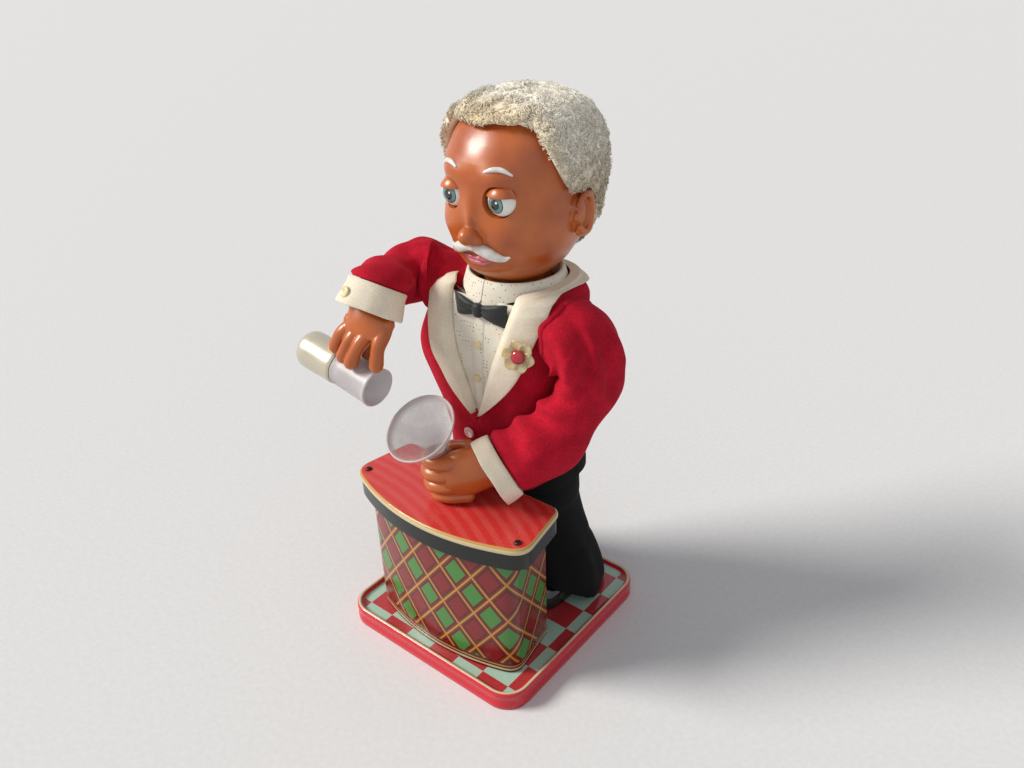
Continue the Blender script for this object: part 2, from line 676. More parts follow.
def legs():
    """Shoes, uprights and the hip bracket that carries the waist pin."""
    for side, word in ((1, "left"), (-1, "right")):
        x = side * LEG_SPACING / 2
        front = LEG_Y - 0.0285
        sections = ((0, 0.30, 0.35), (0.06, 0.75, 0.70), (0.2, 1, 0.92), (0.42, 1.04, 1.0),
                    (0.72, 0.98, 1.0), (0.92, 0.85, 0.95), (1, 0.5, 0.6))
        loops = []
        for along, width, height in sections:
            y = front + along * SHOE_LENGTH
            loop = []
            for k in range(9):
                angle = pi * k / 8
                loop.append(Vector((x + SHOE_HALF_WIDTH * width * cos(angle), y,
                                    DECK + 0.0012 + SHOE_HEIGHT * height * sin(angle))))
            loop += [Vector((x - SHOE_HALF_WIDTH * width, y, DECK)),
                     Vector((x + SHOE_HALF_WIDTH * width, y, DECK))]
            loops.append(loop)
        shoe = rings("shoe_" + word, loops, BLACK_PLASTIC, BASE)
        upright_x = side * UPRIGHT_X
        bore = circle((upright_x, LEG_Y), UPRIGHT_RADIUS + GAP, 12)
        cut(shoe, prism("tool", bore, "Z", -0.01, 0.05))
        shape = prism("leg_upright_" + word, circle((upright_x, LEG_Y), UPRIGHT_RADIUS, 12), "Z",
                      DECK, HIP_PLATE_Z - GAP, STEEL, BASE)
        cut(shape, prism("tool", circle((upright_x, LEG_Y), UPRIGHT_RADIUS - TIN, 8), "Z",
                         -0.01, 0.2))
    seat = oval(TROUSER_HALF_WIDTH - TROUSER_CLOTH - 2 * CLOTH_GAP,
                TROUSER_HALF_DEPTH - TROUSER_CLOTH - 2 * CLOTH_GAP, (0, LEG_Y), 2.4, 20)
    bracket = prism("hip_bracket", seat, "Z", HIP_PLATE_Z, HIP_PLATE_Z + PLATE, STEEL, BASE)
    for side in (-1, 1):
        x = sorted((side * (FRAME_HALF_WIDTH + GAP), side * (FRAME_HALF_WIDTH + GAP + PLATE)))
        ear = [(WAIST_Y - 0.006, HIP_PLATE_Z + PLATE / 2), (WAIST_Y + 0.006, HIP_PLATE_Z + PLATE / 2),
               (WAIST_Y + 0.004, WAIST_Z + 0.003), (WAIST_Y - 0.004, WAIST_Z + 0.003)]
        join(bracket, prism("tool", ear, "X", x[0], x[1]))
    cut(bracket, prism("tool", circle((WAIST_Y, WAIST_Z), WAIST_PIN_RADIUS + GAP / 2, 12), "X",
                       -0.1, 0.1))
    cut(bracket, prism("tool", circle(MOTOR_LEAD_TOP, WIRE_RADIUS + 2 * GAP, 8), "Z", -0.1, 0.2))
    reach = FRAME_HALF_WIDTH + 2 * PLATE
    middle = Vector((1, 0, 0))
    rod("waist_pin", PIVOT_WAIST - middle * reach, PIVOT_WAIST + middle * reach,
        WAIST_PIN_RADIUS, 12, STEEL, BASE)


def trouser_leg(side, thickness, z_cap):
    """One flared leg as a row of loops, drawn in by the cloth's thickness."""
    x = side * LEG_SPACING / 2
    top = HIP_PLATE_Z - 0.016
    stations = ((0.0, 1.0, 1.0), (0.3, 0.95, 0.96), (0.6, 0.81, 0.92), (1.0, 0.66, 0.93))
    bottom = DECK + 0.0025
    count = 18
    loops = []
    for step, (share, width, depth) in enumerate(stations):
        centre_x = x * (1 - 0.42 * smoothstep(share))
        loop = []
        for i in range(count):
            angle = 2 * pi * i / count
            pleat = 1 + 0.035 * (1 - share) * cos(6 * angle + side * 0.6)
            front = max(0.0, -sin(angle))
            lift = HEM_LIFT * front ** 2 if step == 0 else 0
            low = bottom - (z_cap if step == 0 else 0)
            z = low + (top - bottom) * share + lift
            loop.append(Vector((centre_x + (HEM_HALF_WIDTH * width * pleat - thickness) * cos(angle),
                                LEG_Y + (HEM_HALF_DEPTH * depth * pleat - thickness) * sin(angle),
                                z)))
        loops.append(loop)
    return loops


def trouser_hips(thickness, top_reach, bottom_reach):
    loops = []
    low, high = HIP_PLATE_Z - 0.026, WAIST_Z - 0.004
    for share, width, depth in ((0.0, 0.92, 0.93), (0.4, 1.01, 0.98), (1.0, 0.985, 0.99)):
        z = low + (high - low) * share
        if share == 0:
            z -= bottom_reach
        if share == 1:
            z += top_reach
        loops.append(loop3(oval(TROUSER_HALF_WIDTH * width - thickness,
                                TROUSER_HALF_DEPTH * depth - thickness, (0, LEG_Y), 2.4, 20), z))
    return loops


def trousers():
    """Velvet trousers: a hip piece and two flared legs, hollow and open at both ends."""
    shape = rings("trousers", trouser_hips(0, 0, 0), BLACK_CLOTH, BASE)
    join(shape, *[rings("tool", trouser_leg(side, 0, 0)) for side in (-1, 1)])
    hollow = rings("tool", trouser_hips(TROUSER_CLOTH, 0.004, -TROUSER_CLOTH))
    join(hollow, *[rings("leg", trouser_leg(side, TROUSER_CLOTH, 0.004)) for side in (-1, 1)])
    cut(shape, hollow)


def level_at(height):
    """Half width, half depth and middle of the jacket at a height above the waist pivot."""
    rows = LEVELS
    if height <= rows[0][0]:
        return rows[0][1:]
    for low, high in zip(rows, rows[1:]):
        if height <= high[0]:
            share = (height - low[0]) / (high[0] - low[0])
            return tuple(a + (b - a) * share for a, b in zip(low[1:], high[1:]))
    return rows[-1][1:]


def fold(angle, height):
    """Soft vertical folds in the skirt of the jacket, none where the arms hang."""
    skirt = 1 - smoothstep((height - 0.004) / 0.055)
    return 0.0009 * skirt * (1 + cos(7 * angle + 0.5)) / 2


def torso_point(angle, height, offset):
    """A point on the jacket's outline, pushed out or in."""
    half_x, half_y, middle = level_at(height)
    half_x = half_x * JACKET_HALF_WIDTH / 0.038 + offset
    half_y = half_y * JACKET_HALF_DEPTH / 0.032 + offset
    c, s = cos(angle), sin(angle)
    x = (1 if c >= 0 else -1) * abs(c) ** (2 / JACKET_SQUARENESS)
    y = (1 if s >= 0 else -1) * abs(s) ** (2 / JACKET_SQUARENESS)
    return Vector((half_x * x, middle + half_y * y, WAIST_Z + height))


def torso_loop(height, offset, folds=False):
    angles = [2 * pi * i / AROUND for i in range(AROUND)]
    return [torso_point(a, height, offset + (fold(a, height) if folds else 0)) for a in angles]


def front_y(x, height, offset=0.0):
    """How far forward the jacket's front surface lies at a place."""
    half_x, half_y, middle = level_at(height)
    half_x = half_x * JACKET_HALF_WIDTH / 0.038 + offset
    half_y = half_y * JACKET_HALF_DEPTH / 0.032 + offset
    share = min(abs(x) / half_x, 0.995)
    return middle - half_y * (1 - share ** JACKET_SQUARENESS) ** (1 / JACKET_SQUARENESS)


def opening_half_width(height):
    """Half width of the jacket's V neck at a height above the waist pivot."""
    top = 0.1
    share = (height - LAPEL_POINT_HEIGHT) / (top - LAPEL_POINT_HEIGHT)
    share = min(max(share, 0.0), 1.0)
    return 0.0005 + 0.0195 * share ** 0.9


def collar_strip(name, inside, outside, finish=STEEL, carrier=None):
    """One strip: up one side of the V, round the neck and down the other side."""
    half = []
    for step in range(8):
        share = step / 7
        height = LAPEL_POINT_HEIGHT + 0.002 + 0.053 * share
        width = LAPEL_WIDTH * (0.12 + 0.88 * sin(pi / 2 * min(1, share * 1.7)))
        near = opening_half_width(height) + GAP
        half_x = level_at(height)[0]
        angles = [-acos(min(1, (x / half_x)) ** (JACKET_SQUARENESS / 2)) for x in (near, near + width)]
        half.append((angles[0], height, angles[1], height))
    top = LEVELS[-1][0] + 0.0005
    half.append((radians(-52), 0.0990, radians(-37), 0.0962))
    for degrees, high, low in ((-30, 0.1035, 0.1000), (-15, 0.1048, 0.1014), (0, top, 0.1022),
                               (15, top, 0.1020), (30, top, 0.1010), (45, top, 0.0995),
                               (60, top, 0.0980), (75, top, 0.0970), (90, top, 0.0965)):
        half.append((radians(degrees), high, radians(degrees), low))
    stations = half + [(pi - a, b, pi - c, d) for a, b, c, d in half[-2::-1]]
    outer, inner = [], []
    for a, b, c, d in stations:
        for grid, offset in ((outer, outside), (inner, inside)):
            grid.append([torso_point(a + (c - a) * t, b + (d - b) * t, offset)
                         for t in (0, 0.36, 0.68, 1)])
    return slab(name, outer, inner, finish, carrier)


def jacket():
    """Felt jacket: a hollow sheet with padded shoulders, a front slit, V neck and armholes."""
    heights = [row[0] for row in LEVELS]
    outer = [torso_loop(h, 0, folds=True) for h in heights]
    inner = [torso_loop(h, -FELT) for h in heights]
    shape = rings("jacket_body", outer + inner[::-1], CRIMSON_CLOTH, TORSO, closed=True)
    for side in (-1, 1):
        start = PIVOT_SHOULDER + Vector((side * (JACKET_HALF_WIDTH - 0.012), 0, 0))
        end = PIVOT_SHOULDER + Vector((side * JACKET_HALF_WIDTH, 0, 0))
        pad = rod("tool", start, end, 0.011, 24, end_radius=SLEEVE_RADIUS - 0.001)
        above = box("above", (-0.1, -0.1, WAIST_Z + FRAME_TOP_HEIGHT - LAPEL_GAP), (0.1, 0.1, 0.3))
        cut(pad, above, rings("torso", [torso_loop(h, -FELT * 0.6) for h in heights]))
        join(shape, pad)
    marks = (-0.02, LAPEL_POINT_HEIGHT, 0.05, 0.065, 0.08, 0.1, 0.12)
    right = [(opening_half_width(h), WAIST_Z + h) for h in marks]
    opening = right + [(-x, z) for x, z in right[::-1]]
    cut(shape, prism("tool", opening, "Y", -0.05, TORSO_Y))
    hole = circle((SHOULDER_Y, SHOULDER_Z), ARMHOLE, 12)
    cut(shape, prism("tool", hole, "X", -0.1, 0.1))


def shirt():
    """Shirt front under the V, and the shirt collar round the neck."""
    heights = [row[0] for row in LEVELS if 0.02 < row[0] < 0.1] + [SHELL_TOP]
    keep = range(AROUND * 3 // 4 - 3, AROUND * 3 // 4 + 4)
    outer = [[torso_loop(h, SHIRT_OUTER)[i] for i in keep] for h in heights]
    inner = [[torso_loop(h, SHIRT_INNER)[i] for i in keep] for h in heights]
    shape = slab("shirt_front", outer, inner, SHIRT_CLOTH, TORSO)
    for height in (0.060, 0.078):
        join(shape, button("tool", 0.0005, height, SHIRT_OUTER - 0.0004))
    low, high = WAIST_Z + SHELL_TOP + 0.0005, NECK_Z + 0.0022
    centre = (0, NECK_Y)
    loops = []
    for radius, z in ((COLLAR_RADIUS - 0.0016, low), (COLLAR_RADIUS, low),
                      (COLLAR_RADIUS + 0.0008, (low + high) / 2), (COLLAR_RADIUS, high),
                      (COLLAR_RADIUS - 0.0016, high)):
        loops.append(loop3(circle(centre, radius, 22), z))
    rings("shirt_collar", loops, SHIRT_CLOTH, TORSO, closed=True)


def torso_shells():
    """Tin front and back halves that the clothes are stretched over."""
    heights = [0.008, 0.027, 0.055, 0.088, 0.096, SHELL_TOP]
    loops = [torso_loop(h, SHELL_OUTER) for h in heights]
    loops += [torso_loop(h, SHELL_INNER) for h in reversed(heights)]
    for word, low, high in (("front", -0.1, TORSO_Y - GAP), ("back", TORSO_Y + GAP, 0.1)):
        shape = rings("torso_shell_" + word, loops, STEEL, TORSO, closed=True)
        away = (TORSO_Y - GAP, 0.2) if word == "front" else (-0.2, TORSO_Y + GAP)
        cut(shape, box("tool", (-0.2, away[0], 0.0), (0.2, away[1], 0.4)))
        if word == "front":
            hole = circle((SHOULDER_Y, SHOULDER_Z), SHOULDER_SHAFT_RADIUS + 0.0012, 12)
            cut(shape, prism("tool", hole, "X", -0.1, 0.1))


def on_front(x, height, offset):
    """A point in front of the jacket and the way its surface faces there."""
    y = front_y(x, height, offset)
    step = 0.001
    slope = (front_y(x + step, height, offset) - front_y(x - step, height, offset)) / (2 * step)
    rise = (front_y(x, height + step, offset) - front_y(x, height - step, offset)) / (2 * step)
    return Vector((x, y, WAIST_Z + height)), Vector((slope, -1, rise)).normalized()


def button(name, x, height, offset, carrier=None):
    spot, way = on_front(x, height, offset)
    profile = [(0, BUTTON_RADIUS), (0.0010, BUTTON_RADIUS), (0.0015, BUTTON_RADIUS * 0.75)]
    return turned(name, profile, spot, way, 10, PEARL_PLASTIC, carrier)


def dress_trim():
    """Bow tie, buttons and the flower in the lapel."""
    bow = []
    half, tall = 0.0155, 0.0066
    for u, v in ((0.10, 0.36), (0.55, 0.72), (1.0, 1.0), (0.93, 0.0), (1.0, -1.0),
                 (0.55, -0.72), (0.10, -0.36)):
        bow.append((u * half, v * tall))
    outline = bow + [(-u, v) for u, v in bow[::-1]]
    centre_z = NECK_Z - 0.0095
    front = front_y(0, 0.0960, SHIRT_OUTER) - CLOTH_GAP
    shape = prism("bow_tie", [(u, centre_z + v) for u, v in outline], "Y",
                  front - 0.0025, front, TIE_CLOTH, TORSO)
    join(shape, box("tool", (-0.0028, front - 0.0034, centre_z - 0.0034),
                    (0.0028, front - 0.0001, centre_z + 0.0034)))
    button("jacket_button", -0.0062, 0.0265, GAP, TORSO)
    spot, way = on_front(0.0225, 0.0795, LAPEL_GAP + LAPEL_THICKNESS + GAP)
    across, over = frame_of(way)
    loops = []
    for lift, size in ((0, 1.0), (0.0012, 1.0), (0.0018, 0.75)):
        loop = []
        for i in range(24):
            angle = 2 * pi * i / 24
            radius = 0.0062 * size * (1 + 0.14 * cos(6 * angle))
            loop.append(spot + way * lift + across * (radius * cos(angle)) +
                        over * (radius * sin(angle)))
        loops.append(loop)
    shape = rings("lapel_flower", loops, PEARL_PLASTIC, TORSO)
    join(shape, turned("tool", [(0, 0.0024), (0.0012, 0.0021), (0.0018, 0)],
                       spot + way * 0.0014, way, 10))


def holed(shape, y, z, radius, sides=10):
    """Bore a plate along X."""
    return cut(shape, prism("tool", circle((y, z), radius, sides), "X", -0.1, 0.1))


def torso_frame():
    """Frame inside the torso: base and top plates, two side plates, spacers and brackets."""
    base = [(p.x, p.y) for p in torso_loop(0.009, FRAME_EDGE)]
    plate = prism("mechanism_frame", base, "Z", FRAME_BASE_Z, FRAME_BASE_Z + PLATE, STEEL, TORSO)
    lead = circle((MOTOR_LEAD_TOP[0], WAIST_Y), WIRE_RADIUS + 2 * GAP, 8)
    top_z = WAIST_Z + FRAME_TOP_HEIGHT
    top = [(p.x, p.y) for p in torso_loop(SHELL_TOP, FRAME_EDGE - GAP)]
    roof = prism("frame_top_plate", top, "Z", top_z, top_z + PLATE, STEEL, TORSO)
    low, high = FRAME_BASE_Z + PLATE / 2, top_z - GAP
    for side in (1, -1):
        x = sorted((side * FRAME_HALF_WIDTH, side * (FRAME_HALF_WIDTH - PLATE)))
        join(plate, box("tool", (x[0], WAIST_Y - 0.014, low),
                        (x[1], WAIST_Y - 0.014 + FRAME_DEPTH, high)))
    holed(plate, IDLER_AXIS.y, IDLER_AXIS.z, SHAFT_RADIUS + GAP / 2)
    holed(plate, CAM_AXIS.y, CAM_AXIS.z, SHAFT_RADIUS + GAP / 2)
    holed(plate, SHOULDER_Y, SHOULDER_Z, SHOULDER_SHAFT_RADIUS + GAP / 2, 12)
    under = FRAME_BASE_Z + PLATE / 2
    reach = FRAME_HALF_WIDTH
    outline = [(-reach, WAIST_Z - 0.003), (-reach + PLATE, WAIST_Z - 0.003),
               (-reach + PLATE, FRAME_BASE_Z - PLATE / 2),
               (reach - PLATE, FRAME_BASE_Z - PLATE / 2),
               (reach - PLATE, WAIST_Z - 0.003), (reach, WAIST_Z - 0.003),
               (reach, under), (-reach, under)]
    join(plate, prism("tool", outline, "Y", WAIST_Y - 0.004, WAIST_Y + 0.004))
    holed(plate, WAIST_Y, WAIST_Z, WAIST_PIN_RADIUS + GAP / 2, 12)
    cut(plate, prism("tool", lead, "Z", 0, 0.3))
    inside = FRAME_HALF_WIDTH - PLATE - GAP
    middle = Vector((1, 0, 0))
    spot = Vector((0, WAIST_Y + 0.011, SHOULDER_Z - 0.003))
    rod("frame_spacer", spot - middle * inside, spot + middle * inside, 0.0016, 8, STEEL, TORSO)
    base_z = top_z + PLATE / 2
    ear_top = NECK_PIVOT_Z + 0.0025
    outline = [(-0.0067, base_z), (0.0067, base_z), (0.0067, ear_top), (0.0055, ear_top),
               (0.0055, base_z + PLATE), (-0.0055, base_z + PLATE), (-0.0055, ear_top),
               (-0.0067, ear_top)]
    join(roof, prism("tool", outline, "Y", WAIST_Y - 0.0035, WAIST_Y + 0.0035))
    holed(roof, WAIST_Y, NECK_PIVOT_Z, NECK_PIN_RADIUS + GAP / 2)
    rod("neck_pin", PIVOT_NECK - middle * 0.0078, PIVOT_NECK + middle * 0.0078,
        NECK_PIN_RADIUS, 10, STEEL, TORSO)


def gear_outline(teeth, phase):
    """Straight-flanked teeth round a pitch circle, as (Y, Z) about its own centre."""
    pitch_radius = teeth * GEAR_MODULE / 2
    pressure = radians(21)
    half = pi * GEAR_MODULE / 4 * 0.80
    tip, root = 0.80 * GEAR_MODULE, 1.20 * GEAR_MODULE
    tip_half = (half - tan(pressure) * tip) / (pitch_radius + tip)
    root_half = min((half + tan(pressure) * root) / (pitch_radius - root), pi / teeth * 0.97)
    outline = []
    for k in range(teeth):
        centre = phase + 2 * pi * k / teeth
        for radius, turn in ((pitch_radius - root, -root_half), (pitch_radius + tip, -tip_half),
                             (pitch_radius + tip, tip_half), (pitch_radius - root, root_half)):
            outline.append((radius * cos(centre + turn), radius * sin(centre + turn)))
    return outline


def gear(name, axis, teeth, phase, low, width, finish, carrier):
    outline = [(axis.y + u, axis.z + v) for u, v in gear_outline(teeth, phase)]
    return prism(name, outline, "X", low, low + width, finish, carrier)


def drive():
    """Motor, idler and cam shaft: each tooth stands in a gap of its neighbour."""
    middle = Vector((1, 0, 0))
    inner = FRAME_HALF_WIDTH - PLATE - GAP
    start = MOTOR_AXIS - middle * inner
    profile = [(0, MOTOR_RADIUS - 0.0008), (0.0008, MOTOR_RADIUS),
               (MOTOR_LENGTH - 0.0012, MOTOR_RADIUS), (MOTOR_LENGTH, MOTOR_RADIUS - 0.0012)]
    turned("motor_can", profile, start, middle, 24, STEEL, TORSO)
    face = -inner + MOTOR_LENGTH
    pinion = gear("motor_pinion", MOTOR_AXIS, PINION_TEETH, IDLER_ANGLE, WHEEL_PLACE - 0.0006,
                  GEAR_WIDTH + 0.0012, BRASS, MOTOR)
    join(pinion, rod("tool", MOTOR_AXIS + middle * (face + GAP),
                     MOTOR_AXIS + middle * (PINION_PLACE + 0.0022), 0.0011, 8))
    phase = IDLER_ANGLE + pi + pi / WHEEL_TEETH
    wheel = gear("idler_gear", IDLER_AXIS, WHEEL_TEETH, phase, WHEEL_PLACE, GEAR_WIDTH,
                 GEAR_NYLON, IDLER)
    join(wheel, gear("tool", IDLER_AXIS, PINION_TEETH, CAM_ANGLE, PINION_PLACE - 0.0004,
                     GEAR_WIDTH + 0.0014, GEAR_NYLON, None))
    holed(wheel, IDLER_AXIS.y, IDLER_AXIS.z, SHAFT_RADIUS + GAP / 2)
    reach = FRAME_HALF_WIDTH
    rod("idler_shaft", IDLER_AXIS - middle * reach, IDLER_AXIS + middle * reach,
        SHAFT_RADIUS, 10, STEEL, TORSO)
    phase = CAM_ANGLE + pi + pi / WHEEL_TEETH
    wheel = gear("cam_gear", CAM_AXIS, WHEEL_TEETH, phase, PINION_PLACE + 0.0010, GEAR_WIDTH,
                 GEAR_NYLON, CAMS)
    holed(wheel, CAM_AXIS.y, CAM_AXIS.z, SHAFT_RADIUS + GAP)
    shaft = rod("cam_shaft", CAM_AXIS - middle * reach, CAM_AXIS + middle * reach,
                SHAFT_RADIUS, 10, STEEL, CAMS)
    for side, lobe in ((1, 2), (-1, 4)):
        x = sorted((side * CAM_PLACE, side * (CAM_PLACE + 0.003)))
        outline = []
        for i in range(20):
            angle = 2 * pi * i / 20
            radius = CAM_RADIUS * (0.86 + 0.14 * cos(lobe * angle))
            outline.append((CAM_AXIS.y + radius * cos(angle), CAM_AXIS.z + radius * sin(angle)))
        join(shaft, prism("tool", outline, "X", x[0], x[1]))


def arm_lever(side, word, route, carrier):
    """Shoulder shaft with the lever over the cam and the bent wire that carries the hand."""
    middle = Vector((side, 0, 0))
    start, end = PIVOT_SHOULDER + middle * CAM_PLACE, PIVOT_SHOULDER + middle * SHAFT_ENDS[word]
    shape = rod("arm_lever_" + word, start, end, SHOULDER_SHAFT_RADIUS, 12, STEEL, carrier)
    angle = radians(30)
    tip = Vector((SHOULDER_Y + LEVER_LENGTH * sin(angle), SHOULDER_Z - LEVER_LENGTH * cos(angle)))
    hub = Vector((SHOULDER_Y, SHOULDER_Z))
    along = (tip - hub).normalized()
    across = Vector((-along.y, along.x))
    outline = [hub - along * 0.004 + across * 0.0022, hub + across * 0.0036,
               tip + across * 0.0018, tip + along * 0.0015, tip - across * 0.0018,
               hub - across * 0.0036, hub - along * 0.004 - across * 0.0022]
    x = sorted((side * (CAM_PLACE + 0.0002), side * (CAM_PLACE + 0.0026)))
    join(shape, prism("tool", outline, "X", x[0], x[1]))
    path = smooth_path([end - middle * 0.0006] + route, 3)
    join(shape, sweep("tool", path, [0.0015] * len(path), 6))


def clear_of_jacket(point):
    """Push a sleeve point out until it stands clear of the jacket's widest outline."""
    half_x, half_y, middle, power = SHOULDER_PLANE, JACKET_HALF_DEPTH + 0.0038, TORSO_Y, 3.8
    u, v = abs(point.x) / half_x, abs(point.y - middle) / half_y
    level = (u ** power + v ** power) ** (1 / power)
    if level >= 1:
        return point
    return Vector((point.x / level, middle + (point.y - middle) / level, point.z))


def sleeve_loop(centre, way, hint, tall, wide, sides, crease=0.0, clear=True):
    """One loop of a sleeve: tall along the hint, wide across it."""
    across, over = frame_of(way, hint)
    loop = []
    for i in range(sides):
        angle = 2 * pi * i / sides
        ripple = 1 + crease * cos(3 * angle + 1.0)
        point = centre + across * (tall * ripple * cos(angle)) + over * (wide * ripple * sin(angle))
        loop.append(clear_of_jacket(point) if clear else point)
    return loop


def sleeve_stations(side):
    """Centre, way, hint, tall, wide and crease of each loop, from the shoulder to the wrist."""
    plane = side * SHOULDER_PLANE
    r, w = SLEEVE_RADIUS, SLEEVE_HALF_THICKNESS
    stations = []
    if side > 0:
        pivot = PIVOT_SHOULDER + Vector((plane, 0, -r - 0.0006))
        for degrees in (0, 22, 45, 68, 90):
            a = radians(degrees)
            wide = SLEEVE_HEAD + (w - SLEEVE_HEAD) * smoothstep(degrees / 90)
            centre = pivot + Vector((sin(a), 0, cos(a))) * (wide + 0.0006)
            centre.y -= 0.0025 * degrees / 90
            stations.append((centre, Vector((cos(a), 0, -sin(a))), Vector((0, 1, 0)), r, wide, 0.0))
        elbow = PIVOT_SHOULDER + LEFT_ELBOW
        forearm = PIVOT_SHOULDER + LEFT_FOREARM
        wrist = PIVOT_SHOULDER + LEFT_WRIST
        above = stations[-1][0].lerp(elbow, 0.45) + Vector((0.001, 0, 0))
        hint = Vector((0, 1, 0))
        stations.append((above, Vector((-0.15, -0.25, -1)), hint, r * 0.98, w * 1.12, 0.03))
        stations.append((elbow, Vector((-0.35, -0.55, -0.8)), hint, r * 0.96, w * 1.36, 0.05))
        stations.append((forearm, Vector((-0.6, -0.62, -0.5)), hint, r * 0.92, r * 0.88, 0.04))
        stations.append((wrist, LEFT_WAY, hint, r * 0.84, r * 0.84, 0.0))
    else:
        up = Vector((0, 0, 1))
        rows = ((Vector((plane, -0.0080, 0.0085)), Vector((-1, 0, 0)), r * 0.87, r * 0.82, 0.0),
                (RIGHT_UPPER, Vector((-0.75, -0.65, 0.1)), r * 0.85, w * 1.28, 0.0),
                (RIGHT_ELBOW, Vector((-0.3, -0.94, 0.15)), r * 0.85, w * 1.1, 0.02),
                (RIGHT_FOREARM, Vector((0.25, -0.94, 0.1)), r * 0.68, w * 1.1, 0.04),
                (RIGHT_BEND, Vector((0.3, -0.75, -0.55)), r * 0.64, w * 1.18, 0.04),
                (RIGHT_WRIST, RIGHT_WAY, r * 0.72, r * 0.72, 0.0))
        stations = [(PIVOT_SHOULDER + c, way, up, tall, wide, crease)
                    for c, way, tall, wide, crease in rows]
    return stations


def arm(side, word, carrier):
    """Sleeve, cuff and cuff button; returns the wrist and its direction."""
    sides = 14
    stations = sleeve_stations(side)
    outer = [sleeve_loop(c, way, hint, tall, wide, sides, crease, clear=c != stations[-1][0])
             for c, way, hint, tall, wide, crease in stations]
    t = SLEEVE_CLOTH
    inner = []
    for (c, way, hint, tall, wide, crease), skin in zip(stations, outer):
        middle = sum(skin, Vector()) / sides
        loop = []
        for point in skin:
            reach = (middle - point)
            loop.append(point + reach.normalized() * t)
        inner.append(loop)
    walls = []
    for x, rows in ((side * SHOULDER_PLANE, outer), (side * (SHOULDER_PLANE + t), inner)):
        centre = Vector((x, SHOULDER_Y, SHOULDER_Z))
        rows[0] = [Vector((x, p.y, p.z)) for p in rows[0]]
        walls.append([centre + (p - centre).normalized() * ARMHOLE for p in rows[0]])
    rings("sleeve_" + word, [walls[0]] + outer + inner[::-1] + [walls[1]], CRIMSON_CLOTH,
          carrier, closed=True)
    centre, way, hint, tall, wide, _ = stations[-1]
    way = way.normalized()
    start = centre + way * CLOTH_GAP
    loops = []
    flare, length = CUFF_FLARES[word], CUFF_LENGTHS[word]
    for radius, along in ((tall - 0.0024, 0), (tall + 0.0002, 0), (tall + 0.0010, length * 0.2),
                          (tall + flare, length * 0.9), (tall + flare - 0.0006, length),
                          (tall + flare - 0.0032, length)):
        loops.append(sleeve_loop(start + way * along, way, hint, radius, radius, sides, clear=False))
    cuff = rings("cuff_" + word, loops, CREAM_CLOTH, carrier, closed=True)
    across, over = frame_of(way, hint)
    turn = CUFF_BUTTON_TURN[word]
    out = across * cos(turn) + over * sin(turn)
    spot = start + way * length * 0.55 + out * (tall + flare * 0.55)
    join(cuff, rod("tool", spot, spot + out * 0.0020, BUTTON_RADIUS * 1.15, 10))
    return centre, way


def ellipsoid(name, centre, radii, sides=12, rows=6, finish=STEEL, carrier=None):
    loops = []
    for k in range(rows + 1):
        a = pi * k / rows
        if k in (0, rows):
            loops.append([centre + Vector((0, 0, radii[2] * cos(a)))])
            continue
        loops.append([centre + Vector((radii[0] * sin(a) * cos(2 * pi * i / sides),
                                       radii[1] * sin(a) * sin(2 * pi * i / sides),
                                       radii[2] * cos(a))) for i in range(sides)])
    return rings(name, loops, finish, carrier)


def finger(points, radius, steps=2):
    path = smooth_path(points, steps)
    radii = [radius * (1 - 0.12 * i / (len(path) - 1)) for i in range(len(path))]
    return sweep("tool", path, radii, 7, tips=True)


def shaker_point(x):
    """The shaker's centre line at a given X."""
    centre = PIVOT_SHOULDER + SHAKER_CENTRE
    return Vector((x, centre.y, centre.z - tan(SHAKER_TILT) * (x - centre.x)))


# Fingers of the right hand: place along the knuckles, X of the tip, angle round the shaker
RIGHT_FINGERS = ((-0.0096, -0.0545, 104), (-0.0034, -0.0465, 114), (0.0026, -0.0405, 117),
                 (0.0094, -0.0285, 94))


def right_hand():
    """Hand laid over the shaker: four fingers on its front and a thumb behind."""
    start, way = HAND_STARTS["right"]
    palm, knuckles = PIVOT_SHOULDER + RIGHT_PALM, PIVOT_SHOULDER + RIGHT_KNUCKLES
    ahead = (knuckles - palm).normalized()
    leave = start + way * (CUFF_LENGTHS["right"] - 0.0020)
    rows = ((start, way, 0.0092, 0.0084), (start + way * 0.007, way, 0.0098, 0.0082),
            (leave, way, 0.0108, 0.0080), (palm, ahead, 0.0121, 0.0074),
            (knuckles, ahead, 0.0124, 0.0060), (knuckles + ahead * 0.0035, ahead, 0.0100, 0.0036))
    loops = [sleeve_loop(c, along, RIGHT_SPREAD, wide, deep, 14, clear=False)
             for c, along, wide, deep in rows]
    hand = rings("hand_right", loops, VINYL_SKIN, RIGHT_ARM)
    reach = SHAKER_RADIUS + FINGER_RADIUS + 2 * GAP
    for place, tip_x, turn in RIGHT_FINGERS:
        a = radians(turn)
        tip = shaker_point(tip_x) + Vector((0, cos(a), sin(a))) * reach
        root = knuckles - ahead * 0.0015 + RIGHT_SPREAD * place
        bend = root.lerp(tip, 0.5) + Vector((0, -0.0016, 0.0012))
        join(hand, finger([root, bend, tip], FINGER_RADIUS, 3))
    points = []
    for tip_x, turn in ((-0.043, 62), (-0.047, 30), (-0.050, 0), (-0.051, -20)):
        a = radians(turn)
        points.append(shaker_point(tip_x) + Vector((0, cos(a), sin(a))) * (reach + GAP))
    join(hand, finger([palm + Vector((0.001, 0.002, -0.001))] + points, FINGER_RADIUS * 1.05, 2))


def glass_way():
    return Vector((-0.06, -sin(GLASS_TILT), cos(GLASS_TILT))).normalized()


